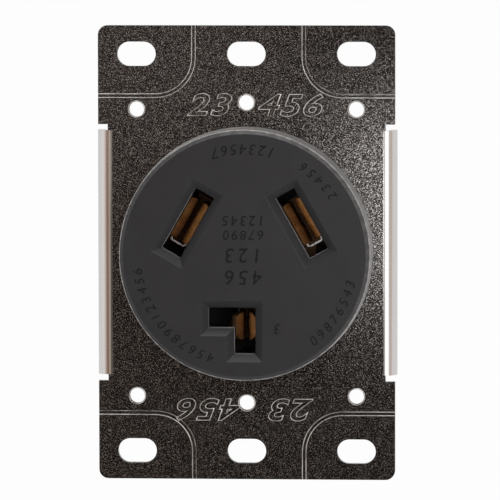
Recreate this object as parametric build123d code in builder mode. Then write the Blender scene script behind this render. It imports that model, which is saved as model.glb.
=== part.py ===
from build123d import *
from dataclasses import dataclass
from math import cos, radians, sin, tan
import os

# A flush-mounted receptacle with two slanted line slots and an L-shaped neutral slot.
# Frame: +X right, +Y back into the wall box, +Z up. The origin is the centre of the
# mounting strap on its rear plane, where the strap's ears seat on the box. Millimetres.

# Mounting strap
strap_thickness = 1.5
strap_corner_radius = 2.0
box_screw_pitch_x = 46.04
box_screw_pitch_z = 83.34
box_slot_length = 8.1
box_slot_width = 5.1
strap_side_margin = 8.08
strap_end_margin = 5.955
cover_screw_pitch_z = 63.0
side_screw_pitch_x = 46.04
side_screw_pitch_z = 60.2
tapped_hole_diameter = 3.2

# Scored lines along which the four ears break off, struck slightly off the strap's centre
score_x = 11.55
score_z = 33.3
score_shift_x = 0.5
score_shift_z = -0.4
score_corner_radius = 8.1
score_width = 0.84
score_depth = 0.5

# Side flanges, bent back to stiffen the strap
flange_length = 51.3
flange_depth = 5.0
flange_proud = 0.3
bend_outer_radius = 2.9
bend_overlap = 1.0
relief_height = 1.3
relief_depth = 2.0

# Face housing
face_diameter = 53.0
face_height = 7.2
face_draft = 2.5
face_rim_chamfer = 0.85
face_wall = 4.4
rim_overlap = 1.5
neck_clearance = 0.2
key_width = 5.0
key_cover = 0.7

# Line slots and the neutral slot
slot_width = 4.5
slot_length = 14.5
slot_offset_x = 11.9
slot_offset_z = 6.65
slot_tilt = 29.5
neutral_slot_top = -10.95
neutral_slot_height = 9.8
neutral_foot_length = 9.9
neutral_foot_width = 4.35
mouth_bevel = 1.55

# Rear housing
rear_width = 50.0
rear_top = 26.5
rear_bottom = 29.0
rear_depth = 25.0
rear_corner_radius = 8.0
rear_draft = 1.0
contact_seat_depth = 12.2

# Spring contacts, folded from brass strip
brass_thickness = 1.0
leaf_length = 9.4
leaf_shift = 0.25
neutral_leaf_length = 5.9
neutral_leaf_z = -15.25
lip_cover = 0.15
lip_clearance = 0.6
lip_round = 0.9
neutral_lip_round = 2.2
lip_round_limit = 0.45
throat_gap = 0.9
throat_setback = 1.9
throat_length = 3.8
knee_setback = 3.3
leaf_bend_radius = 0.9
leaf_clearance = 0.6
tail_clearance = 0.3

# Steel clips that press the leaves together
clip_thickness = 0.4
clip_bend_radius = 0.5
clip_end_gap = 0.6
neutral_clip_end_gap = 0.95
clip_reach = 0.8
clip_edge_margin = 0.4

# Wire terminals
terminal_inset = 6.8
terminal_z = -2.6
neutral_terminal_inset = 5.8
clamp_size = 10.0
clamp_thickness = 1.6
clamp_gap = 4.2
clamp_edge_chamfer = 0.3
bay_clearance = 0.4
bay_ledge = 0.8
terminal_screw_diameter = 4.8
terminal_head_diameter = 8.4
terminal_head_height = 3.0
nut_inset = 0.8
terminal_nut_thickness = 2.2
terminal_screw_end = 1.5
screw_hole_clearance = 0.2
thread_clearance = 0.05
drive_slot_width = 1.2
drive_slot_depth = 1.3

# Three screws that draw the two housings together on the strap
housing_screw_inset = 3.2
lower_screw_angle = -42.0
housing_screw_diameter = 3.0
housing_head_diameter = 5.6
housing_head_height = 2.0
housing_head_clearance = 0.3
housing_screw_floor = 1.8
pilot_cover = 3.3
pilot_end_gap = 0.4

# Depths behind the strap's rear plane, worked out from the sizes above
face_front_y = -(strap_thickness + face_height)
pocket_front_y = face_front_y + face_wall
lip_y = pocket_front_y + lip_clearance
throat_front_y = lip_y + throat_setback
throat_rear_y = throat_front_y + throat_length
knee_y = throat_rear_y + knee_setback
web_y = contact_seat_depth - brass_thickness / 2
nut_rear_y = contact_seat_depth - brass_thickness
nut_front_y = nut_rear_y - terminal_nut_thickness
clamp_rear_y = contact_seat_depth + clamp_gap + clamp_thickness
housing_seat_y = contact_seat_depth + housing_screw_floor
pilot_front_y = face_front_y + pilot_cover
flange_rear_y = flange_depth - strap_thickness

# Sizes in the plane of the wall, worked out from the sizes above
strap_width = box_screw_pitch_x + 2 * strap_side_margin
strap_height = box_screw_pitch_z + 2 * strap_end_margin
flange_outer_x = strap_width / 2 + flange_proud
bend_start_x = flange_outer_x - bend_outer_radius
neck_diameter = face_diameter - 2 * rim_overlap
key_span = face_diameter - 2 * key_cover
lip_offset = slot_width / 2 + lip_cover
throat_offset = throat_gap / 2 + brass_thickness / 2
pocket_margin = lip_cover + brass_thickness / 2 + leaf_clearance
bay_size = clamp_size + 2 * bay_clearance
pad_size = bay_size + 2 * bay_ledge
nut_size = clamp_size - 2 * nut_inset
housing_screw_radius = neck_diameter / 2 - housing_screw_inset
head_recess_size = housing_head_diameter + 2 * housing_head_clearance


@dataclass(frozen=True)
class ContactPlace:
    """Where one contact lies: its leaves' middle and tilt, its clip's end and its terminal's pad."""

    middle: Vector
    tilt: float
    leaf_length: float
    lip_round: float
    clip_gap: float
    clip_web_end: int
    terminal: Vector
    pad_width: float
    pad_height: float

    @property
    def across(self):
        """Direction across the slot."""
        return Vector(cos(radians(self.tilt)), 0, sin(radians(self.tilt)))

    @property
    def along(self):
        """Direction along the slot, upwards."""
        return Vector(-sin(radians(self.tilt)), 0, cos(radians(self.tilt)))


def line_place(side):
    """The place of the contact behind the left (-1) or right (1) line slot."""
    tilt = radians(side * slot_tilt)
    return ContactPlace(
        middle=Vector(
            side * slot_offset_x - leaf_shift * sin(tilt), 0, slot_offset_z + leaf_shift * cos(tilt)
        ),
        tilt=side * slot_tilt,
        leaf_length=leaf_length,
        lip_round=lip_round,
        clip_gap=clip_end_gap,
        clip_web_end=-1,
        terminal=Vector(side * (rear_width / 2 - terminal_inset), 0, terminal_z),
        pad_width=clamp_size,
        pad_height=pad_size,
    )


contact_places = {
    "left_line": line_place(-1),
    "right_line": line_place(1),
    "neutral": ContactPlace(
        middle=Vector(0, 0, neutral_leaf_z),
        tilt=0,
        leaf_length=neutral_leaf_length,
        lip_round=neutral_lip_round,
        clip_gap=neutral_clip_end_gap,
        clip_web_end=1,
        terminal=Vector(0, 0, neutral_terminal_inset - rear_bottom),
        pad_width=pad_size,
        pad_height=clamp_size - bay_ledge,
    ),
}


def housing_screw_place(angle):
    """The place of a housing screw, from its angle above +X."""
    return Vector(cos(radians(angle)), 0, sin(radians(angle))) * housing_screw_radius


housing_screw_places = {
    "upper": housing_screw_place(90),
    "lower_left": housing_screw_place(180 - lower_screw_angle),
    "lower_right": housing_screw_place(lower_screw_angle),
}


def wall_plane(y, point=Vector(0, 0, 0)):
    """Plane parallel to the wall at depth y, facing the viewer, centred in front of a point."""
    return Plane(origin=(point.X, y, point.Z), x_dir=(1, 0, 0), z_dir=(0, -1, 0))


def draw_slots():
    """The outlines of the two line slots and the L-shaped neutral slot."""
    for side in (-1, 1):
        with Locations((side * slot_offset_x, slot_offset_z)):
            Rectangle(slot_width, slot_length, rotation=side * slot_tilt)
    with Locations((0, neutral_slot_top)):
        Rectangle(slot_width, neutral_slot_height, align=(Align.CENTER, Align.MAX))
    with Locations((slot_width / 2, neutral_slot_top)):
        Rectangle(neutral_foot_length, neutral_foot_width, align=(Align.MAX, Align.MAX))


def draw_pockets():
    """The outlines of the pockets in which the contacts' leaves spread, behind the slots."""
    draw_slots()
    offset(amount=pocket_margin, kind=Kind.INTERSECTION)


def draw_tail(place, margin=0):
    """A contact's flat tail, from under its leaves to its terminal, grown by a margin."""
    with BuildSketch(mode=Mode.PRIVATE) as tail:
        with Locations((place.middle.X, place.middle.Z)):
            Rectangle(2 * lip_offset, place.leaf_length, rotation=place.tilt)
        with Locations((place.terminal.X, place.terminal.Z)):
            Rectangle(place.pad_width, place.pad_height)
        make_hull(tail.edges())
        if margin > 0:
            offset(amount=margin)
    add(tail.sketch_local)


def at_housing_screws():
    """The places of the housing screws in a sketch parallel to the wall."""
    return Locations(*[(place.X, place.Z) for place in housing_screw_places.values()])


def save(piece, name):
    """Label a finished piece and write it to its own file."""
    piece.part.label = name
    export_step(piece.part, f"parts/{name}.step")


# Mounting strap: a stamped steel plate, its ears scored to break off
def make_strap():
    with BuildPart() as strap:
        with BuildSketch(wall_plane(0)):
            RectangleRounded(strap_width, strap_height, strap_corner_radius)
            with GridLocations(strap_width, 0, 2, 1):
                Rectangle(2 * (strap_width / 2 - bend_start_x), flange_length, mode=Mode.SUBTRACT)
            with GridLocations(strap_width, flange_length + relief_height, 2, 2):
                Rectangle(2 * relief_depth, relief_height, mode=Mode.SUBTRACT)
            with GridLocations(box_screw_pitch_x / 2, box_screw_pitch_z, 3, 2):
                SlotOverall(box_slot_length, box_slot_width, mode=Mode.SUBTRACT)
            with GridLocations(0, cover_screw_pitch_z, 1, 2):
                Circle(tapped_hole_diameter / 2, mode=Mode.SUBTRACT)
            with GridLocations(side_screw_pitch_x, side_screw_pitch_z, 2, 2):
                Circle(tapped_hole_diameter / 2, mode=Mode.SUBTRACT)
            Circle(neck_diameter / 2 + neck_clearance, mode=Mode.SUBTRACT)
            Rectangle(
                key_width + 2 * neck_clearance, key_span + 2 * neck_clearance, mode=Mode.SUBTRACT
            )
        extrude(amount=strap_thickness)

        with BuildSketch(Plane.XY.offset(-flange_length / 2)):
            with BuildLine():
                FilletPolyline(
                    (bend_start_x - bend_overlap, -strap_thickness / 2),
                    (flange_outer_x - strap_thickness / 2, -strap_thickness / 2),
                    (flange_outer_x - strap_thickness / 2, flange_rear_y),
                    radius=bend_outer_radius - strap_thickness / 2,
                )
            trace(line_width=strap_thickness)
            mirror(about=Plane.YZ)
        extrude(amount=flange_length)

        for side in (-1, 1):
            for end in (-1, 1):
                line_x = score_shift_x + side * score_x
                line_z = score_shift_z + end * score_z
                start = (line_x, end * (strap_height / 2 + score_width))
                with BuildLine(wall_plane(-strap_thickness)) as score_path:
                    FilletPolyline(
                        start,
                        (line_x, line_z),
                        (side * (strap_width / 2 + score_width), line_z),
                        radius=score_corner_radius,
                    )
                score_plane = Plane(
                    origin=(start[0], -strap_thickness, start[1]),
                    x_dir=(end, 0, 0),
                    z_dir=(0, 0, -end),
                )
                with BuildSketch(score_plane):
                    with BuildLine():
                        Polyline(
                            (-score_width / 2, 0),
                            (score_width / 2, 0),
                            (0, -score_depth),
                            close=True,
                        )
                    make_face()
                sweep(path=score_path.wires()[0], mode=Mode.SUBTRACT)
    return strap


# Face housing: a round moulded face whose neck passes through the strap
def make_face_housing():
    face_front_radius = face_diameter / 2 - face_height * tan(radians(face_draft))
    with BuildPart() as face:
        with BuildSketch(Plane.XY) as section:
            with BuildLine():
                Polyline(
                    (0, 0),
                    (neck_diameter / 2, 0),
                    (neck_diameter / 2, -strap_thickness),
                    (face_diameter / 2, -strap_thickness),
                    (face_front_radius, face_front_y),
                    (0, face_front_y),
                    close=True,
                )
            make_face()
            chamfer(section.vertices().group_by(Axis.Y)[0].sort_by(Axis.X)[-1], face_rim_chamfer)
        revolve(axis=Axis.Y)
        with BuildSketch(wall_plane(0)):
            Rectangle(key_width, key_span)
        extrude(amount=strap_thickness)

        with BuildSketch(wall_plane(face_front_y)):
            draw_slots()
        extrude(amount=face_front_y, mode=Mode.SUBTRACT)
        mouths = face.edges().filter_by_position(Axis.Y, face_front_y, face_front_y)
        chamfer(mouths.filter_by(GeomType.LINE), mouth_bevel)
        with BuildSketch(wall_plane(0)):
            draw_pockets()
        extrude(amount=-pocket_front_y, mode=Mode.SUBTRACT)

        with BuildSketch(wall_plane(0)):
            with at_housing_screws():
                Circle(housing_screw_diameter / 2 + thread_clearance)
        extrude(amount=-pilot_front_y, mode=Mode.SUBTRACT)
    return face


# Rear housing: a moulded body with a pocket for each contact and a bay for each terminal
def make_rear_housing():
    with BuildPart() as rear:
        with BuildSketch(wall_plane(rear_depth)):
            with Locations((0, (rear_top - rear_bottom) / 2)):
                RectangleRounded(rear_width, rear_top + rear_bottom, rear_corner_radius)
            offset(amount=-rear_depth * tan(radians(rear_draft)))
        extrude(amount=rear_depth, taper=-rear_draft)

        with BuildSketch(wall_plane(0)):
            draw_pockets()
            for place in contact_places.values():
                draw_tail(place, tail_clearance)
        extrude(amount=-contact_seat_depth, mode=Mode.SUBTRACT)

        with BuildSketch(wall_plane(rear_depth)):
            for side in (-1, 1):
                bay_wall_x = side * (rear_width / 2 - terminal_inset - bay_size / 2)
                outwards = Align.MIN if side > 0 else Align.MAX
                with Locations((bay_wall_x, terminal_z)):
                    Rectangle(rear_width, bay_size, align=(outwards, Align.CENTER))
            with Locations((0, neutral_terminal_inset - rear_bottom + bay_size / 2)):
                Rectangle(bay_size, rear_bottom, align=(Align.CENTER, Align.MAX))
        extrude(amount=rear_depth - contact_seat_depth, mode=Mode.SUBTRACT)

        with BuildSketch(wall_plane(0)):
            with at_housing_screws():
                Circle(housing_screw_diameter / 2 + screw_hole_clearance)
        extrude(amount=-rear_depth, mode=Mode.SUBTRACT)
        with BuildSketch(wall_plane(rear_depth)):
            with at_housing_screws():
                Rectangle(head_recess_size, head_recess_size)
        extrude(amount=rear_depth - housing_seat_y, mode=Mode.SUBTRACT)
    return rear


# Spring contact: two leaves folded forward from a web, and a flat tail to the terminal
def make_contact(place):
    half_profile = [
        (lip_offset, lip_y),
        (throat_offset, throat_front_y),
        (throat_offset, throat_rear_y),
        (lip_offset, knee_y),
        (lip_offset, web_y),
    ]
    profile = [(-x, y) for x, y in half_profile] + half_profile[::-1]
    with BuildPart() as contact:
        with BuildSketch(Plane(origin=place.middle, x_dir=place.across, z_dir=place.along)):
            with BuildLine():
                FilletPolyline(*profile, radius=leaf_bend_radius)
            trace(line_width=brass_thickness)
        extrude(amount=place.leaf_length / 2, both=True)
        leaf_side_plane = Plane(origin=place.middle, x_dir=place.along, z_dir=place.across)
        with BuildSketch(leaf_side_plane) as leaf_side:
            with Locations((0, -contact_seat_depth)):
                Rectangle(
                    place.leaf_length,
                    contact_seat_depth - lip_y + brass_thickness / 2,
                    align=(Align.CENTER, Align.MIN),
                )
            lip_corners = leaf_side.vertices().group_by(Axis.Y)[-1]
            fillet(lip_corners, min(place.lip_round, lip_round_limit * place.leaf_length))
        extrude(amount=lip_offset + brass_thickness, both=True, mode=Mode.INTERSECT)

        with BuildSketch(wall_plane(contact_seat_depth)):
            draw_tail(place)
            with Locations((place.terminal.X, place.terminal.Z)):
                Circle(terminal_screw_diameter / 2 + screw_hole_clearance, mode=Mode.SUBTRACT)
        extrude(amount=brass_thickness)
    return contact


# Steel clip: a strip bent to a U round both leaves, its web at one end of them
def make_clip(place):
    leg_x = throat_offset + brass_thickness / 2 + clip_thickness / 2
    web_z = place.clip_web_end * (place.leaf_length / 2 + place.clip_gap + clip_thickness / 2)
    leg_end = place.clip_web_end * (clip_reach - place.leaf_length / 2)
    clip_rear = place.middle + Vector(0, throat_rear_y - clip_edge_margin, 0)
    with BuildPart() as clip:
        with BuildSketch(Plane(origin=clip_rear, x_dir=place.across, z_dir=(0, -1, 0))):
            with BuildLine():
                FilletPolyline(
                    (-leg_x, leg_end),
                    (-leg_x, web_z),
                    (leg_x, web_z),
                    (leg_x, leg_end),
                    radius=clip_bend_radius,
                )
            trace(line_width=clip_thickness)
        extrude(amount=throat_length - 2 * clip_edge_margin)
    return clip


# Pressure plate: a square steel plate that clamps the wire under the screw's head
def make_pressure_plate(place):
    with BuildPart() as plate:
        with BuildSketch(wall_plane(clamp_rear_y, place.terminal)):
            Rectangle(clamp_size, clamp_size)
        extrude(amount=clamp_thickness)
        chamfer(plate.faces().sort_by(Axis.Y)[-1].edges(), clamp_edge_chamfer)
        with BuildSketch(wall_plane(clamp_rear_y, place.terminal)):
            Circle(terminal_screw_diameter / 2 + screw_hole_clearance)
        extrude(amount=clamp_thickness, mode=Mode.SUBTRACT)
    return plate


# Terminal nut: a square nut on the front of the contact's tail
def make_terminal_nut(place):
    with BuildPart() as nut:
        with BuildSketch(wall_plane(nut_rear_y, place.terminal)):
            Rectangle(nut_size, nut_size)
            Circle(terminal_screw_diameter / 2 + thread_clearance, mode=Mode.SUBTRACT)
        extrude(amount=terminal_nut_thickness)
    return nut


# A slotted screw along Y, its head towards the rear
def make_screw(point, seat_y, tip_y, diameter, head_diameter, head_height):
    with BuildPart() as screw:
        with BuildSketch(wall_plane(seat_y, point)):
            Circle(diameter / 2)
        extrude(amount=seat_y - tip_y)
        with BuildSketch(wall_plane(seat_y, point)):
            Circle(head_diameter / 2)
        extrude(amount=-head_height)
        with BuildSketch(wall_plane(seat_y + head_height, point)):
            Rectangle(drive_slot_width, head_diameter)
        extrude(amount=drive_slot_depth, mode=Mode.SUBTRACT)
    return screw


os.makedirs("parts", exist_ok=True)

save(make_strap(), "mounting_strap")
save(make_face_housing(), "face_housing")
save(make_rear_housing(), "rear_housing")

for contact_name, place in contact_places.items():
    save(make_contact(place), f"{contact_name}_contact")
    save(make_clip(place), f"{contact_name}_spring")
    save(make_pressure_plate(place), f"{contact_name}_pressure_plate")
    save(make_terminal_nut(place), f"{contact_name}_terminal_nut")
    terminal_screw = make_screw(
        place.terminal,
        clamp_rear_y,
        nut_front_y - terminal_screw_end,
        terminal_screw_diameter,
        terminal_head_diameter,
        terminal_head_height,
    )
    save(terminal_screw, f"{contact_name}_terminal_screw")

for screw_name, point in housing_screw_places.items():
    housing_screw = make_screw(
        point,
        housing_seat_y,
        pilot_front_y + pilot_end_gap,
        housing_screw_diameter,
        housing_head_diameter,
        housing_head_height,
    )
    save(housing_screw, f"{screw_name}_housing_screw")
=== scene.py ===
"""The look of a flush-mounted three-slot receptacle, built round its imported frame."""
import logging
import math
from dataclasses import dataclass
from enum import Enum

import bpy
from mathutils import Matrix, Vector


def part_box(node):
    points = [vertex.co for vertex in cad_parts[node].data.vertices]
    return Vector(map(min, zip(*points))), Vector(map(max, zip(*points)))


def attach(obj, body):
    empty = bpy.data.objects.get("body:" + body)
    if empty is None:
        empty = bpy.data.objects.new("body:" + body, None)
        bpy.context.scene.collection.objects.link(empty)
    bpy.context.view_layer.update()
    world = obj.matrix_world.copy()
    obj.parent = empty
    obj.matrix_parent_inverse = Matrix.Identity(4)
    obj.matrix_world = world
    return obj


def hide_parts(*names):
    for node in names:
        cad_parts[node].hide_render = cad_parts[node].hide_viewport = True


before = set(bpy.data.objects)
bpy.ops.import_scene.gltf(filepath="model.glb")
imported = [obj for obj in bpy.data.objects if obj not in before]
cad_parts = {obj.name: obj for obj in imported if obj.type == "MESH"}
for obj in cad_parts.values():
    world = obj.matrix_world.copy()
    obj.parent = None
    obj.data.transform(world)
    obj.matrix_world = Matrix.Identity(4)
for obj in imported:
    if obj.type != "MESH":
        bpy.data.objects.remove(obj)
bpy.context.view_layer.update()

log = logging.getLogger("receptacle")
Piece = bpy.types.Object
Socket = bpy.types.NodeSocket
Colour = tuple[float, float, float]
Place = tuple[float, float, float]
Profile = list[tuple[float, float]]

MM = 0.001
STRAP_LOW, STRAP_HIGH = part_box("mounting_strap")
STRAP_FRONT_Y = STRAP_LOW.y
FACE_FRONT_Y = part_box("face_housing")[0].y
MERGE_DISTANCE = 0.004 * MM
FLAT_ANGLE = math.radians(1)
SHARP_ANGLE = math.radians(24)
SMOOTH_ANGLE = math.radians(35)
DIGIT_SHARE = 0.7


class Side(Enum):
    """The three contacts, by the names that their nodes start with."""

    LEFT_LINE = "left_line"
    RIGHT_LINE = "right_line"
    NEUTRAL = "neutral"


class NumeralStyle(Enum):
    """How a numeral stands on its surface."""

    OUTLINED = "outlined"
    SOLID = "solid"


class Nodes:
    """A node tree, with short calls to add nodes and link them.

    The MIX values are the places of the colour sockets on Blender's Mix node.
    """

    MIX_SHARE = 0
    MIX_FIRST = 6
    MIX_SECOND = 7
    MIX_RESULT = 2

    def __init__(self, tree: bpy.types.NodeTree) -> None:
        """Take a tree and add the coordinates to it.

        Args:
            tree: The node tree of a material or of the world.
        """
        self.tree = tree
        self.coordinates = tree.nodes.new("ShaderNodeTexCoord")

    def put(self, value: object, socket: Socket) -> None:
        """Link an output to a socket, or set the socket to a constant.

        Args:
            value: An output socket or a constant.
            socket: The input socket that takes it.
        """
        if isinstance(value, Socket):
            self.tree.links.new(value, socket)
        else:
            socket.default_value = value

    def node(self, kind: str, **values: object) -> bpy.types.Node:
        """Add a node and set its inputs.

        Args:
            kind: The node's type, without its ShaderNode prefix.
            values: Properties of the node, or input sockets by name with _ for spaces.

        Returns:
            The new node.
        """
        made = self.tree.nodes.new("ShaderNode" + kind)
        for key, value in values.items():
            if hasattr(made, key):
                setattr(made, key, value)
            else:
                self.put(value, made.inputs[key.replace("_", " ")])
        return made

    def placed(self, stretch: Place = (1, 1, 1)) -> Socket:
        """Object coordinates, stretched along each axis.

        Args:
            stretch: The factor for each axis.

        Returns:
            The vector output of the mapping.
        """
        mapping = self.node("Mapping", Vector=self.coordinates.outputs["Object"], Scale=stretch)
        return mapping.outputs["Vector"]

    def noise(
        self, scale: float, detail: float = 2.0, roughness: float = 0.5, stretch: Place = (1, 1, 1)
    ) -> Socket:
        """Noise on Object coordinates.

        Args:
            scale: How many features lie along a metre.
            detail: How many finer layers are added.
            roughness: How strong the finer layers are.
            stretch: The factor for each axis.

        Returns:
            The noise's value output.
        """
        made = self.node(
            "TexNoise", Vector=self.placed(stretch), Scale=scale, Detail=detail, Roughness=roughness
        )
        return made.outputs["Fac"]

    def ramp(self, value: Socket, stops: list[tuple[float, Colour]]) -> Socket:
        """Turn a value into a colour.

        Args:
            value: The value to look up.
            stops: Positions with their colours.

        Returns:
            The colour output.
        """
        made = self.node("ValToRGB", Fac=value)
        elements = made.color_ramp.elements
        while len(elements) < len(stops):
            elements.new(0.5)
        for element, (position, colour) in zip(elements, stops):
            element.position = position
            element.color = (*colour, 1.0)
        return made.outputs["Color"]

    def range(self, value: Socket, low: float, high: float, to_low: float, to_high: float) -> Socket:
        """Map a value from one range to another, clamped.

        Args:
            value: The value to map.
            low: Start of the first range.
            high: End of the first range.
            to_low: Start of the second range.
            to_high: End of the second range.

        Returns:
            The mapped value.
        """
        made = self.node(
            "MapRange", Value=value, From_Min=low, From_Max=high, To_Min=to_low, To_Max=to_high
        )
        return made.outputs["Result"]

    def calculate(self, operation: str, first: Socket, second: object = 0.0) -> Socket:
        """Work out one value from one or two others.

        Args:
            operation: The Math node's operation.
            first: The first value.
            second: The second value, a socket or a number, where the operation takes one.

        Returns:
            The result.
        """
        made = self.node("Math", operation=operation)
        self.put(first, made.inputs[0])
        self.put(second, made.inputs[1])
        return made.outputs[0]

    def product(self, *factors: Socket) -> Socket:
        """Multiply values.

        Args:
            factors: Two values or more.

        Returns:
            Their product.
        """
        result = factors[0]
        for factor in factors[1:]:
            result = self.calculate("MULTIPLY", result, factor)
        return result

    def blend(self, share: Socket, first: object, second: object) -> Socket:
        """Blend two colours or two values.

        Args:
            share: How much of the second is taken, from 0 to 1.
            first: A socket, a colour or a number.
            second: A socket, a colour or a number.

        Returns:
            The blended output.
        """
        made = self.node("Mix", data_type="RGBA")
        self.put(share, made.inputs[self.MIX_SHARE])
        for index, value in ((self.MIX_FIRST, first), (self.MIX_SECOND, second)):
            if isinstance(value, tuple):
                value = (*value, 1.0)
            elif isinstance(value, float):
                value = (value, value, value, 1.0)
            self.put(value, made.inputs[index])
        return made.outputs[self.MIX_RESULT]


class Shader(Nodes):
    """A material's node tree round its Principled shader."""

    def __init__(self, name: str) -> None:
        """Start a material with a Principled shader.

        Args:
            name: The material's name.
        """
        self.material = bpy.data.materials.new(name)
        self.material.use_nodes = True
        super().__init__(self.material.node_tree)
        self.principled = self.tree.nodes["Principled BSDF"]

    def set(self, **values: object) -> None:
        """Set sockets of the Principled shader by name, with _ for spaces.

        Args:
            values: An output socket or a constant for each.
        """
        for key, value in values.items():
            self.put(value, self.principled.inputs[key.replace("_", " ")])

    def bump(self, height: Socket, strength: float, distance: float) -> None:
        """Shape the shader's normal by a height.

        Args:
            height: The height value.
            strength: How strongly it acts.
            distance: The depth of a full step, in metres.
        """
        made = self.node("Bump", Strength=strength, Distance=distance, Height=height)
        self.set(Normal=made.outputs["Normal"])


@dataclass(frozen=True)
class PlatedSteel:
    """Stamped steel with a dark, crystalline plating whose brightest specks are painted glints; it is
    smooth on the bends, which are painted bright as a painted highlight.
    """

    name: str = "plated_steel"
    # The plating's dark crystals, and in the brightest stops painted glints where facets catch the light.
    grain_and_glints: tuple[tuple[float, Colour], ...] = (
        (0.44, (0.046, 0.041, 0.039)),
        (0.54, (0.074, 0.066, 0.062)),
        (0.60, (0.250, 0.232, 0.222)),
        (0.66, (1.000, 0.970, 0.940)),
    )
    # The bends are the same plating as the plate, painted bright as a painted highlight.
    bend_highlight: Colour = (0.92, 0.91, 0.90)
    grain_scale: float = 6200.0
    grain_relief: float = 0.02 * MM
    smudge_scale: float = 900.0
    roughness: float = 0.2
    roughness_spread: float = 0.04
    bend_roughness: float = 0.13
    bend_relief: float = 0.03
    bend_start: float = 28.3 * MM
    bend_end: float = 28.65 * MM
    bend_shift: float = -0.22 * MM
    flange_half: float = 25.65 * MM
    flange_edge: float = 0.05 * MM

    def on_flange(self, shader: Shader) -> Socket:
        """Find the bent flanges.

        Args:
            shader: The material that is being made.

        Returns:
            1 on the flanges and 0 elsewhere.
        """
        parts = shader.node("SeparateXYZ", Vector=shader.coordinates.outputs["Object"])
        shifted = shader.calculate("ADD", parts.outputs["X"], self.bend_shift)
        sideways = shader.calculate("ABSOLUTE", shifted)
        upright = shader.calculate("ABSOLUTE", parts.outputs["Z"])
        bend = shader.range(sideways, self.bend_start, self.bend_end, 0.0, 1.0)
        inner, outer = self.flange_half - self.flange_edge, self.flange_half + self.flange_edge
        return shader.product(bend, shader.range(upright, inner, outer, 1.0, 0.0))

    def material(self) -> bpy.types.Material:
        """Make the material.

        Returns:
            The finished material.
        """
        shader = Shader(self.name)
        flange = self.on_flange(shader)
        grain_and_glints = shader.noise(self.grain_scale, 1.0, 0.65)
        # The dark crystals, with painted glints in the brightest specks.
        flat = shader.ramp(grain_and_glints, list(self.grain_and_glints))
        roughest = self.roughness + self.roughness_spread
        rough = shader.range(shader.noise(self.smudge_scale), 0.3, 0.7, self.roughness, roughest)
        # The bends take the painted highlight colour in place of the crystals.
        shader.set(
            Base_Color=shader.blend(flange, flat, self.bend_highlight),
            Metallic=1.0,
            Roughness=shader.blend(flange, rough, self.bend_roughness),
        )
        relief = shader.range(flange, 0.0, 1.0, 1.0, self.bend_relief)
        shader.bump(shader.product(grain_and_glints, relief), 0.3, self.grain_relief)
        return shader.material


@dataclass(frozen=True)
class Moulding:
    """Moulded thermoset: a satin dark grey with a faint mottle and fine pits."""

    name: str
    colour: Colour
    roughness: float = 0.45
    specular: float = 0.5
    darkest: float = 0.88
    lightest: float = 1.14
    mottle_scale: float = 160.0
    pit_scale: float = 2600.0
    pit_depth: float = 0.04 * MM
    roughness_spread: float = 0.06

    def coloured(self, shader: Shader) -> Socket:
        """The colour with its faint mottle.

        Args:
            shader: The material that is being made.

        Returns:
            The colour output.
        """
        low = tuple(self.darkest * c for c in self.colour)
        high = tuple(self.lightest * c for c in self.colour)
        return shader.ramp(shader.noise(self.mottle_scale, 4.0, 0.6), [(0.3, low), (0.7, high)])

    def material(self) -> bpy.types.Material:
        """Make the material.

        Returns:
            The finished material.
        """
        shader = Shader(self.name)
        pits = shader.noise(self.pit_scale, 2.0, 0.6)
        low, high = self.roughness - self.roughness_spread, self.roughness + self.roughness_spread
        shader.set(
            Base_Color=self.coloured(shader),
            Specular_IOR_Level=self.specular,
            Roughness=shader.range(pits, 0.3, 0.7, low, high),
        )
        shader.bump(pits, 0.18, self.pit_depth)
        return shader.material


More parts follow.
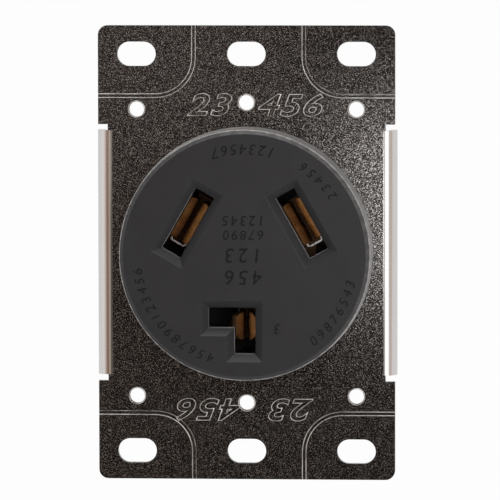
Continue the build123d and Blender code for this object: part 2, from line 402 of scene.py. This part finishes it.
@dataclass(frozen=True)
class FaceMoulding(Moulding):
    """The face's satin dark grey, with scuffs and a painted highlight on its rim, most of all at the upper
    right where the light falls.
    """

    name: str = "face_moulding"
    colour: Colour = (0.0235, 0.0235, 0.0265)
    roughness: float = 0.42
    specular: float = 0.4
    darkest: float = 0.9
    lightest: float = 1.1
    sheen: float = 0.6
    sheen_roughness: float = 0.25
    # Scuffs with a painted highlight on the rim, the side wall lightened by painted light, more so at the
    # upper right, and a painted highlight line at the wall's edge.
    scuffs_and_highlight: Colour = (0.10, 0.098, 0.096)
    wall: Colour = (0.035, 0.034, 0.033)
    wall_highlight: Colour = (0.085, 0.083, 0.081)
    edge: Colour = (0.50, 0.49, 0.48)
    bevel_radius: float = 25.34 * MM
    wall_radius: float = 26.12 * MM
    rim_width: float = 1.6 * MM
    line: float = 0.05 * MM
    # The direction towards the light at the upper right, and the span along it over which the painted
    # highlight grows.
    upper_right: Place = (0.55, 0.0, 0.83)
    highlight_from: float = -18 * MM
    highlight_to: float = 24 * MM

    def coloured(self, shader: Shader) -> Socket:
        """The mottled colour with its scuffed rim and painted highlight, its side wall lightened by painted
        light, and the painted highlight line between them.

        Args:
            shader: The material that is being made.

        Returns:
            The colour output.
        """
        line, bevel, wall = self.line, self.bevel_radius, self.wall_radius
        flat = shader.node("VectorMath", operation="LENGTH", Vector=shader.placed((1, 0, 1)))
        radius = flat.outputs["Value"]
        towards = shader.node("VectorMath", operation="DOT_PRODUCT", Vector=shader.placed())
        towards.inputs[1].default_value = self.upper_right
        # Where the light falls, towards the upper right, which takes the painted highlight.
        lit_sector = shader.range(towards.outputs["Value"], self.highlight_from, self.highlight_to, 0.0, 1.0)
        scuffs = shader.range(shader.noise(700.0, 4.0, 0.7), 0.40, 0.62, 0.35, 1.0)
        marks = shader.range(shader.noise(1500.0, 4.0, 0.75), 0.63, 0.72, 0.0, 0.8)
        near_rim = shader.range(radius, bevel - self.rim_width, bevel, 0.0, 1.0)
        on_bevel = shader.range(radius, bevel - 2 * line, bevel + line, 0.0, 1.0)
        on_wall = shader.range(radius, wall, wall + line, 0.0, 1.0)
        on_edge = shader.product(
            shader.range(radius, wall - 2 * line, wall - line, 0.0, 1.0),
            shader.range(radius, wall + line, wall + 2 * line, 1.0, 0.0),
        )
        colour = super().coloured(shader)
        # Scuffs and painted highlight on the rim and its bevel, painted light on the side wall, and a
        # painted highlight line at the wall's edge.
        colour = shader.blend(shader.product(near_rim, lit_sector, marks), colour, self.scuffs_and_highlight)
        colour = shader.blend(shader.product(on_bevel, lit_sector, scuffs), colour, self.scuffs_and_highlight)
        colour = shader.blend(on_wall, colour, shader.blend(lit_sector, self.wall, self.wall_highlight))
        return shader.blend(shader.product(on_edge, scuffs), colour, self.edge)

    def material(self) -> bpy.types.Material:
        """Make the material.

        Returns:
            The finished material.
        """
        made = super().material()
        inputs = made.node_tree.nodes["Principled BSDF"].inputs
        inputs["Sheen Weight"].default_value = self.sheen
        inputs["Sheen Roughness"].default_value = self.sheen_roughness
        return made


@dataclass(frozen=True)
class Metal:
    """Rolled or plated metal, finely brushed and slowly stained, with a painted shade across one span of
    depth.
    """

    name: str
    colour: Colour
    stain: Colour
    roughness: float = 0.3
    shade_from: float = 0.0
    shade_to: float = 0.0
    shade_colour: Colour = (0.0, 0.0, 0.0)
    stain_scale: float = 420.0
    brushing_scale: float = 1500.0
    brushing_stretch: Place = (1.0, 0.15, 1.0)
    brushing_depth: float = 0.03 * MM

    def material(self) -> bpy.types.Material:
        """Make the material.

        Returns:
            The finished material.
        """
        shader = Shader(self.name)
        cloud = shader.noise(self.stain_scale, 3.0, 0.6)
        colour = shader.ramp(cloud, [(0.35, self.stain), (0.62, self.colour)])
        # Painted shade: the colour turns to the shade colour across the span of depth where the part lies
        # in shadow.
        if self.shade_to != self.shade_from:
            parts = shader.node("SeparateXYZ", Vector=shader.coordinates.outputs["Object"])
            depth = shader.range(parts.outputs["Y"], self.shade_from, self.shade_to, 0.0, 1.0)
            colour = shader.blend(depth, colour, self.shade_colour)
        brushing = shader.noise(self.brushing_scale, 3.0, 0.6, self.brushing_stretch)
        low, high = self.roughness - 0.08, self.roughness + 0.12
        shader.set(
            Base_Color=colour, Metallic=1.0, Roughness=shader.range(brushing, 0.3, 0.7, low, high)
        )
        shader.bump(brushing, 0.2, self.brushing_depth)
        return shader.material


def deselect() -> None:
    """Deselect every object."""
    if bpy.context.object and bpy.context.object.mode != "OBJECT":
        bpy.ops.object.mode_set(mode="OBJECT")
    bpy.ops.object.select_all(action="DESELECT")


def take(piece: Piece) -> None:
    """Make one object the only selected and active one.

    Args:
        piece: The object.
    """
    deselect()
    piece.select_set(True)
    bpy.context.view_layer.objects.active = piece


def settle(piece: Piece) -> None:
    """Put an object's place, turn and size into its mesh."""
    take(piece)
    bpy.ops.object.transform_apply(location=True, rotation=True, scale=True)


def ride(piece: Piece, material: bpy.types.Material) -> None:
    """Give a piece its material, let it ride on the body, and report it.

    Args:
        piece: The finished piece.
        material: Its material.
    """
    piece.data.materials.clear()
    piece.data.materials.append(material)
    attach(piece, "root")
    log.info(piece.name)


def rounded_copy(node: str, name: str, width: float) -> Piece:
    """A copy of a CAD node with its sharp edges rounded, which stands for the node.

    Args:
        node: The node to copy.
        name: The copy's name.
        width: How far back each edge is rounded, in metres.

    Returns:
        The rounded copy.
    """
    piece = bpy.data.objects.new(name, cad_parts[node].data.copy())
    bpy.context.scene.collection.objects.link(piece)
    take(piece)
    bpy.ops.object.mode_set(mode="EDIT")
    bpy.ops.mesh.customdata_custom_splitnormals_clear()
    bpy.ops.mesh.select_all(action="SELECT")
    bpy.ops.mesh.remove_doubles(threshold=MERGE_DISTANCE)
    bpy.ops.mesh.dissolve_limited(angle_limit=FLAT_ANGLE)
    bpy.ops.object.mode_set(mode="OBJECT")
    bevel = piece.modifiers.new("rounded_edges", "BEVEL")
    bevel.width = width
    bevel.segments = 2
    bevel.limit_method = "ANGLE"
    bevel.angle_limit = SHARP_ANGLE
    bevel.harden_normals = False
    bpy.ops.object.modifier_apply(modifier=bevel.name)
    bpy.ops.object.shade_smooth_by_angle(angle=SMOOTH_ANGLE)
    flats = piece.modifiers.new("flat_faces", "WEIGHTED_NORMAL")
    flats.keep_sharp = True
    bpy.ops.object.modifier_apply(modifier=flats.name)
    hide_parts(node)
    return piece


def join(pieces: list[Piece], name: str) -> Piece:
    """Join several pieces into one.

    Args:
        pieces: The pieces to join.
        name: The joined piece's name.

    Returns:
        The joined piece.
    """
    take(pieces[0])
    for piece in pieces:
        piece.select_set(True)
    bpy.ops.object.join()
    joined = bpy.context.object
    joined.name = name
    joined.data.name = name
    return joined


@dataclass
class Numeral:
    """Plain numerals raised on a surface that faces the viewer."""

    text: str
    height: float
    x: float
    z: float
    surface_y: float
    turn: float
    slant: float
    stroke: float
    weight: float
    style: NumeralStyle = NumeralStyle.SOLID
    stretch: float = 1.0
    spacing: float = 1.0

    def build(self, name: str) -> Piece:
        """Make the numerals' mesh.

        Args:
            name: The piece's name.

        Returns:
            The raised numerals.
        """
        deselect()
        bpy.ops.object.text_add(location=(0, 0, 0))
        piece = bpy.context.object
        piece.name = name
        words = piece.data
        words.body = self.text
        words.size = self.height / DIGIT_SHARE
        words.shear = self.slant
        words.align_x = "CENTER"
        words.align_y = "CENTER"
        words.resolution_u = 6
        words.offset = self.weight
        words.space_character = self.spacing
        words.bevel_depth = self.stroke
        words.bevel_resolution = 2
        if self.style is NumeralStyle.OUTLINED:
            words.fill_mode = "NONE"
        bpy.ops.object.convert(target="MESH")
        piece.matrix_world = (
            Matrix.Translation((self.x, self.surface_y, self.z))
            @ Matrix.Rotation(math.radians(self.turn), 4, "Y")
            @ Matrix.Rotation(math.radians(90), 4, "X")
            @ Matrix.Diagonal((self.stretch, 1.0, 1.0, 1.0))
        )
        settle(piece)
        return piece


@dataclass(frozen=True)
class Corner:
    """One ear's score line: side is -1 left or 1 right, end is -1 below or 1 above, ridges are radii."""

    name: str
    side: int
    end: int
    outer_ridge: float
    inner_ridge: float


@dataclass
class Strap:
    """The stamped strap, with its rounded edges, score lines, painted highlight rings round the tapped
    holes, and numerals.
    """

    edge_round: float = 0.10 * MM
    half_width: float = 31.1 * MM
    half_height: float = STRAP_HIGH.z
    score_x: float = 11.55 * MM
    score_z: float = 33.3 * MM
    score_shift_x: float = 0.5 * MM
    score_shift_z: float = -0.4 * MM
    score_radius: float = 8.1 * MM
    score_half_width: float = 0.38 * MM
    arc_steps: int = 16
    floor_depth: float = 0.05 * MM
    floor_lip: float = 0.01 * MM
    ridge_points: int = 8
    # Ridges thinner than this take the dimmer plating as painted shade.
    faint_below: float = 0.08 * MM
    # The ridge radii also pick which ridge of each corner takes that painted shade, the one the light
    # misses.
    corners: tuple[Corner, ...] = (
        Corner("upper_left", -1, 1, 0.10 * MM, 0.09 * MM),
        Corner("upper_right", 1, 1, 0.07 * MM, 0.10 * MM),
        Corner("lower_left", -1, -1, 0.10 * MM, 0.07 * MM),
        Corner("lower_right", 1, -1, 0.09 * MM, 0.09 * MM),
    )
    tapped_holes: tuple[tuple[float, float], ...] = (
        (-23.02 * MM, 30.1 * MM), (0.0, 31.5 * MM), (23.02 * MM, 30.1 * MM),
    )
    # The rings that stand as a painted highlight round the tapped holes.
    hole_ring_radius: float = 1.74 * MM
    hole_ring_size: float = 0.10 * MM
    numeral_height: float = 4.4 * MM
    numeral_stroke: float = 0.075 * MM
    numeral_weight: float = 0.13 * MM
    numerals: tuple[tuple[str, str, float, float, float], ...] = (
        ("upper_left_numerals", "23", -8.1 * MM, 30.8 * MM, 0.0),
        ("upper_right_numerals", "456", 8.8 * MM, 30.7 * MM, 0.0),
        ("lower_left_numerals", "456", -7.6 * MM, -32.7 * MM, 180.0),
        ("lower_right_numerals", "23", 9.6 * MM, -32.7 * MM, 180.0),
    )
    steel: PlatedSteel = PlatedSteel()
    # Bright plating that stands as a painted highlight on the score ridges, the hole rings and the
    # numerals, which are the plate's own plating catching the light.
    highlighted: Metal = Metal("highlighted_plating", colour=(0.80, 0.78, 0.76), stain=(0.45, 0.43, 0.41))
    # A dimmer copy of the plating, which stands as painted shade on the ridges that take less light.
    faint: Metal = Metal("shaded_plating", colour=(0.50, 0.48, 0.46), stain=(0.16, 0.15, 0.145))
    slot: str = "plated_steel"

    def along_score(self, profile: Profile, corner: Corner, name: str) -> Piece:
        """A closed profile drawn along one corner's score line, from the plate's end to its side.

        Args:
            profile: Its points, each an offset towards the corner and a height off the plate.
            corner: The corner.
            name: The piece's name.

        Returns:
            The drawn piece.
        """
        side, end = corner.side, corner.end
        x = self.score_shift_x + side * self.score_x
        z = self.score_shift_z + end * self.score_z
        centre = (x + side * self.score_radius, STRAP_FRONT_Y, z + end * self.score_radius)
        deselect()
        bpy.ops.mesh.primitive_circle_add(vertices=len(profile), radius=MM, fill_type="NOTHING")
        piece = bpy.context.object
        piece.name = name
        for vertex, (across, height) in zip(piece.data.vertices, profile):
            vertex.co = (x + side * across, STRAP_FRONT_Y - height, end * self.half_height)
        bpy.ops.object.mode_set(mode="EDIT")
        bpy.ops.mesh.select_all(action="SELECT")
        down = centre[2] - end * self.half_height
        bpy.ops.mesh.extrude_region_move(TRANSFORM_OT_translate={"value": (0, 0, down)})
        quarter = side * end * math.radians(90)
        bpy.ops.mesh.spin(steps=self.arc_steps, angle=quarter, center=centre, axis=(0, 1, 0))
        out = side * self.half_width - centre[0]
        bpy.ops.mesh.extrude_region_move(TRANSFORM_OT_translate={"value": (out, 0, 0)})
        bpy.ops.mesh.select_all(action="SELECT")
        bpy.ops.mesh.remove_doubles(threshold=0.001 * MM)
        bpy.ops.mesh.fill_holes(sides=0)
        bpy.ops.mesh.normals_make_consistent(inside=False)
        bpy.ops.object.mode_set(mode="OBJECT")
        bpy.ops.object.shade_smooth_by_angle(angle=math.radians(50))
        return piece

    def floor_profile(self) -> Profile:
        """The shallow V of a score line's floor, closed inside the plate.

        Returns:
            Its points, each an offset towards the corner and a height off the plate.
        """
        half, inside = self.score_half_width, -3 * self.floor_depth
        return [
            (-half, -self.floor_lip), (0.0, -self.floor_depth), (half, -self.floor_lip),
            (half, inside), (-half, inside),
        ]

    def ridge_profile(self, offset: float, radius: float) -> Profile:
        """A small circle round a ridge's middle.

        Args:
            offset: The ridge's offset towards the corner.
            radius: The ridge's radius.

        Returns:
            The circle's points.
        """
        turns = [2 * math.pi * index / self.ridge_points for index in range(self.ridge_points)]
        return [(offset + radius * math.cos(turn), radius * math.sin(turn)) for turn in turns]

    def score_line(
        self, corner: Corner, steel: bpy.types.Material, highlighted: bpy.types.Material, faint: bpy.types.Material
    ) -> None:
        """Make one corner's score line: its floor and the ridges on both sides of it.

        Args:
            corner: The corner.
            steel: The floor's material.
            highlighted: The bright material, a painted highlight, of a ridge that stands out.
            faint: The dimmer material, a painted shade, of a low ridge.
        """
        floor = self.along_score(self.floor_profile(), corner, f"{corner.name}_score_floor")
        ride(floor, steel)
        half = self.score_half_width
        ridges = (("outer", half, corner.outer_ridge), ("inner", -half, corner.inner_ridge))
        for place, offset, size in ridges:
            profile = self.ridge_profile(offset, size)
            ridge = self.along_score(profile, corner, f"{corner.name}_{place}_score_ridge")
            # A thin ridge takes the dimmer plating as painted shade, a thicker one the bright plating as
            # painted highlight.
            ride(ridge, faint if size < self.faint_below else highlighted)

    def hole_highlight_rings(self) -> Piece:
        """Make the low bright rings round the tapped holes, a painted highlight where the hole walls catch
        the light.

        Returns:
            The joined rings.
        """
        rings = []
        for x, z in self.tapped_holes:
            for end in (-1, 1):
                deselect()
                bpy.ops.mesh.primitive_torus_add(
                    location=(x, STRAP_FRONT_Y, end * z), rotation=(math.radians(90), 0, 0),
                    major_radius=self.hole_ring_radius, minor_radius=self.hole_ring_size,
                    major_segments=48, minor_segments=8,
                )
                ring = bpy.context.object
                settle(ring)
                bpy.ops.object.shade_smooth()
                rings.append(ring)
        return join(rings, "tapped_hole_highlight_rings")

    def build(self) -> None:
        """Build and dress the strap."""
        steel, highlighted, faint = self.steel.material(), self.highlighted.material(), self.faint.material()
        ride(rounded_copy("mounting_strap", "strap_plate", self.edge_round), steel)
        for corner in self.corners:
            self.score_line(corner, steel, highlighted, faint)
        # The rings round the tapped holes take the bright plating as a painted highlight.
        ride(self.hole_highlight_rings(), highlighted)
        # The raised numerals take the bright plating as a painted highlight.
        for name, text, x, z, turn in self.numerals:
            numeral = Numeral(
                text, self.numeral_height, x, z, STRAP_FRONT_Y, turn, slant=0.28,
                stroke=self.numeral_stroke, weight=self.numeral_weight,
                style=NumeralStyle.OUTLINED, stretch=1.3, spacing=1.12,
            )
            ride(numeral.build(name), highlighted)


@dataclass(frozen=True)
class DialArc:
    """Numerals along an arc of the face, from one angle to another, in degrees above +X."""

    name: str
    numerals: str
    start: float
    end: float
    radius: float
    height: float
    tops_outward: bool = False


@dataclass
class Face:
    """The round moulded face and its fine raised numerals."""

    edge_round: float = 0.06 * MM
    stroke: float = 0.085 * MM
    thinning: float = 0.085 * MM
    arcs: tuple[DialArc, ...] = (
        DialArc("top_arc_numerals", "1234567", 75.0, 105.5, 22.3 * MM, 2.2 * MM),
        DialArc("right_arc_numerals", "23456", 34.0, 56.0, 22.3 * MM, 1.9 * MM),
        DialArc("lower_right_arc_numerals", "34567890", -15.0, -51.0, 23.0 * MM, 2.0 * MM),
        DialArc("lower_left_arc_numerals", "4567890123456", 252.0, 189.0, 22.4 * MM, 2.0 * MM, True),
    )
    rows: tuple[tuple[str, float, float, float, float], ...] = (
        ("12345", 2.1 * MM, -0.1 * MM, 7.4 * MM, 1.25),
        ("67890", 2.0 * MM, -0.1 * MM, 4.4 * MM, 1.25),
        ("123", 3.0 * MM, -0.1 * MM, 0.2 * MM, 1.35),
        ("456", 3.0 * MM, -0.1 * MM, -4.4 * MM, 1.35),
        ("3", 2.1 * MM, 6.9 * MM, -15.2 * MM, 1.0),
    )
    moulding: FaceMoulding = FaceMoulding()
    # A dimmer, less shiny copy of the face's moulding for the numerals, which stands as painted shade round
    # their raised strokes.
    shaded_numerals: Moulding = Moulding("shaded_numeral_moulding", (0.005, 0.005, 0.0055), roughness=0.5, specular=0.24)
    slot: str = "face_moulding"

    def arc(self, arc: DialArc) -> Piece:
        """Make one arc of numerals, each standing on the arc.

        Args:
            arc: What the arc says and where it runs.

        Returns:
            The joined numerals.
        """
        made = []
        step = len(arc.numerals) - 1
        for index, digit in enumerate(arc.numerals):
            angle = arc.start + (arc.end - arc.start) * index / step
            turn = 90 - angle if arc.tops_outward else 270 - angle
            x = arc.radius * math.cos(math.radians(angle))
            z = arc.radius * math.sin(math.radians(angle))
            numeral = Numeral(
                digit, arc.height, x, z, FACE_FRONT_Y, turn, slant=0.15,
                stroke=self.stroke, weight=-self.thinning,
            )
            made.append(numeral.build(f"{arc.name}_{index}"))
        return join(made, arc.name)

    def centre_numerals(self) -> Piece:
        """Make the rows of numerals at the middle of the face, and the one beside the neutral slot.

        Returns:
            The joined numerals.
        """
        made = []
        for index, (text, height, x, z, spacing) in enumerate(self.rows):
            numeral = Numeral(
                text, height, x, z, FACE_FRONT_Y, turn=180, slant=0.1,
                stroke=self.stroke, weight=-self.thinning, spacing=spacing,
            )
            made.append(numeral.build(f"centre_row_{index}"))
        return join(made, "centre_numerals")

    def build(self) -> None:
        """Build and dress the face."""
        face = rounded_copy("face_housing", "moulded_face", self.edge_round)
        ride(face, self.moulding.material())
        # The numerals take that dimmer copy as painted shade.
        shaded_numerals = self.shaded_numerals.material()
        for arc in self.arcs:
            ride(self.arc(arc), shaded_numerals)
        ride(self.centre_numerals(), shaded_numerals)


@dataclass
class Inside:
    """The contacts, their clips, the body and the terminals behind the strap."""

    sheet_round: float = 0.06 * MM
    plate_round: float = 0.25 * MM
    nut_round: float = 0.15 * MM
    screw_round: float = 0.35 * MM
    body_round: float = 0.3 * MM
    # The brass turns to a painted shade deeper inside the slots.
    brass: Metal = Metal(
        "contact_brass", colour=(0.62, 0.43, 0.235), stain=(0.38, 0.23, 0.125), roughness=0.34,
        shade_from=-3.2 * MM, shade_to=3.8 * MM, shade_colour=(0.20, 0.12, 0.07),
    )
    bright: Metal = Metal(
        "spring_steel", colour=(0.82, 0.82, 0.82), stain=(0.74, 0.74, 0.74), roughness=0.2
    )
    # A dark steel for the square nuts; on the neutral clip it stands as painted shade, where the line clips
    # are the bright spring steel.
    blued: Metal = Metal(
        "blued_steel", colour=(0.05, 0.045, 0.042), stain=(0.03, 0.025, 0.022), roughness=0.45
    )
    zinc: Metal = Metal("terminal_steel", colour=(0.60, 0.60, 0.61), stain=(0.42, 0.42, 0.42))
    # The terminal screws turn to a painted shade at their front ends, which lie in shadow inside the body.
    gilt: Metal = Metal(
        "terminal_screws", colour=(0.66, 0.63, 0.55), stain=(0.46, 0.44, 0.38),
        shade_from=12.2 * MM, shade_to=11.8 * MM, shade_colour=(0.03, 0.027, 0.024),
    )
    body: Moulding = Moulding("body_moulding", (0.026, 0.026, 0.028), roughness=0.5)

    def build(self) -> None:
        """Dress every node behind the face."""
        brass, bright, blued = self.brass.material(), self.bright.material(), self.blued.material()
        zinc, gilt = self.zinc.material(), self.gilt.material()
        for side in Side:
            # The neutral clip takes the dark steel as painted shade, the others the bright spring steel.
            clip = blued if side is Side.NEUTRAL else bright
            for node, name, width, material, slot in (
                ("contact", "brass_leaves", self.sheet_round, brass, "contact_brass"),
                ("spring", "clip", self.sheet_round, clip, "spring_steel"),
                ("pressure_plate", "wire_plate", self.plate_round, zinc, "terminal_steel"),
                ("terminal_nut", "square_nut", self.nut_round, blued, "terminal_steel"),
                ("terminal_screw", "wire_screw", self.screw_round, gilt, "terminal_screws"),
            ):
                copy = rounded_copy(f"{side.value}_{node}", f"{side.value}_{name}", width)
                ride(copy, material)
        for place in ("upper", "lower_left", "lower_right"):
            screw = rounded_copy(f"{place}_housing_screw", f"{place}_body_screw", self.screw_round)
            ride(screw, zinc)
        body = rounded_copy("rear_housing", "moulded_body", self.body_round)
        ride(body, self.body.material())


@dataclass(frozen=True)
class Lamp:
    """A square soft light that faces the object: its place and side in metres, its power in watts."""

    name: str
    place: Place
    size: float
    power: float
    colour: Colour = (1.0, 1.0, 1.0)

    def build(self) -> None:
        """Add the light."""
        data = bpy.data.lights.new(self.name, "AREA")
        data.size = self.size
        data.energy = self.power
        data.color = self.colour
        lamp = bpy.data.objects.new(self.name, data)
        lamp.location = self.place
        lamp.rotation_mode = "QUATERNION"
        lamp.rotation_quaternion = (-Vector(self.place)).to_track_quat("-Z", "Y")
        lamp.visible_camera = False
        bpy.context.scene.collection.objects.link(lamp)


@dataclass
class Studio:
    """The camera, lamps, surroundings and floor.

    The walls are colours at angles round the object in degrees, from 0 behind the camera, with the
    right positive. Where a direction rises or falls past ceiling_start, they turn into the ceiling.
    """

    distance: float = 1.2
    azimuth: float = 4.0
    elevation: float = 4.5
    roll: float = -0.093
    lens: float = 412.34
    sensor_width: float = 36.0
    target: Place = (0.62 * MM, 0.0, 0.515 * MM)
    white: Colour = (1.0, 1.0, 1.0)
    ceiling: Colour = (0.75, 0.75, 0.75)
    ceiling_start: float = 0.55
    ceiling_full: float = 0.8
    walls: tuple[tuple[float, Colour], ...] = (
        (-180, (0.85, 0.85, 0.85)),
        (-95, (0.80, 0.80, 0.81)),
        (-62, (0.62, 0.56, 0.53)),
        (-48, (0.42, 0.32, 0.28)),
        (-42, (0.20, 0.13, 0.10)),
        (-28, (0.20, 0.13, 0.10)),
        (-22, (0.36, 0.285, 0.235)),
        (-9.5, (0.36, 0.285, 0.235)),
        (-7.3, (0.05, 0.045, 0.04)),
        (2, (0.05, 0.05, 0.05)),
        (6, (0.22, 0.185, 0.175)),
        (16, (0.28, 0.24, 0.225)),
        (20, (1.1, 1.1, 1.1)),
        (48, (1.1, 1.1, 1.1)),
        (52, (0.50, 0.42, 0.385)),
        (90, (0.50, 0.42, 0.385)),
        (98, (0.84, 0.84, 0.85)),
        (180, (0.85, 0.85, 0.85)),
    )
    floor_size: float = 12.0
    floor_place: Place = (0, 5.75, -0.16)
    floor_colours: tuple[Colour, Colour] = ((0.84, 0.84, 0.84), (0.86, 0.86, 0.86))
    floor_glow: float = 0.95
    lamps: tuple[Lamp, ...] = (
        Lamp("key_right", (0.42, -0.55, 0.30), 0.4, 1.2),
        Lamp("fill_left", (-0.55, -0.45, 0.25), 0.5, 0.6),
        Lamp("top", (0.05, -0.15, 0.7), 0.4, 1.2),
        Lamp("near_right", (0.034, -0.15, 0.000), 0.042, 0.0085),
        Lamp("near_top_left", (-0.032, -0.15, 0.036), 0.07, 0.0024, (1.0, 0.92, 0.90)),
    )

    def camera(self) -> None:
        """Set the camera at the photograph's place."""
        azimuth, elevation = math.radians(self.azimuth), math.radians(self.elevation)
        level = math.cos(elevation)
        back = Vector((math.sin(azimuth) * level, -math.cos(azimuth) * level, math.sin(elevation)))
        data = bpy.data.cameras.new("camera")
        data.lens = self.lens
        data.sensor_width = self.sensor_width
        data.clip_start = 0.05
        data.clip_end = 20.0
        camera = bpy.data.objects.new("camera", data)
        bpy.context.scene.collection.objects.link(camera)
        aim = (-back).to_track_quat("-Z", "Y")
        roll = Matrix.Rotation(math.radians(self.roll), 3, "Z").to_quaternion()
        camera.rotation_mode = "QUATERNION"
        camera.rotation_quaternion = aim @ roll
        camera.location = Vector(self.target) + back * self.distance
        bpy.context.scene.camera = camera

    def surroundings(self) -> None:
        """Set the world: the walls and the ceiling light the object, and the camera sees white."""
        world = bpy.data.worlds.new("studio")
        world.use_nodes = True
        room = Nodes(world.node_tree)
        parts = room.node("SeparateXYZ", Vector=room.coordinates.outputs["Generated"])
        nearer = room.calculate("MULTIPLY", parts.outputs["Y"], -1.0)
        angle = room.calculate("ARCTAN2", parts.outputs["X"], nearer)
        share = room.range(angle, -math.pi, math.pi, 0.0, 1.0)
        walls = room.ramp(share, [((degrees + 180) / 360, colour) for degrees, colour in self.walls])
        rise = room.calculate("ABSOLUTE", parts.outputs["Z"])
        steep = room.range(rise, self.ceiling_start, self.ceiling_full, 0.0, 1.0)
        lit = room.blend(steep, walls, self.ceiling)
        seen = room.blend(room.node("LightPath").outputs["Is Camera Ray"], lit, self.white)
        background = room.tree.nodes["Background"]
        room.put(seen, background.inputs["Color"])
        room.put(1.0, background.inputs["Strength"])
        bpy.context.scene.world = world

    def floor(self) -> None:
        """Lay a plain pale floor well below the object, nearly white where only the camera sees it."""
        deselect()
        bpy.ops.mesh.primitive_plane_add(size=self.floor_size, location=self.floor_place)
        floor = bpy.context.object
        floor.name = "floor"
        shader = Shader("pale_floor")
        low, high = self.floor_colours
        shader.set(Base_Color=shader.ramp(shader.noise(30.0), [(0.3, low), (0.7, high)]), Roughness=0.8)
        path = shader.node("LightPath")
        glow = shader.node("Emission", Strength=1.0)
        mixed = shader.node("MixShader")
        share = shader.range(path.outputs["Is Camera Ray"], 0.0, 1.0, 0.0, self.floor_glow)
        for socket, value in zip(mixed.inputs, (share, shader.principled.outputs[0], glow.outputs[0])):
            shader.put(value, socket)
        shader.put(mixed.outputs[0], shader.tree.nodes["Material Output"].inputs["Surface"])
        floor.data.materials.append(shader.material)

    def build(self) -> None:
        """Set up the whole studio."""
        self.camera()
        self.surroundings()
        self.floor()
        for lamp in self.lamps:
            lamp.build()
        bpy.context.scene.view_settings.view_transform = "Standard"


def main() -> None:
    """Build every sub-assembly and the studio."""
    logging.basicConfig(level=logging.INFO, format="%(name)s: %(message)s")
    Strap().build()
    Face().build()
    Inside().build()
    Studio().build()


if __name__ == "__main__":
    main()
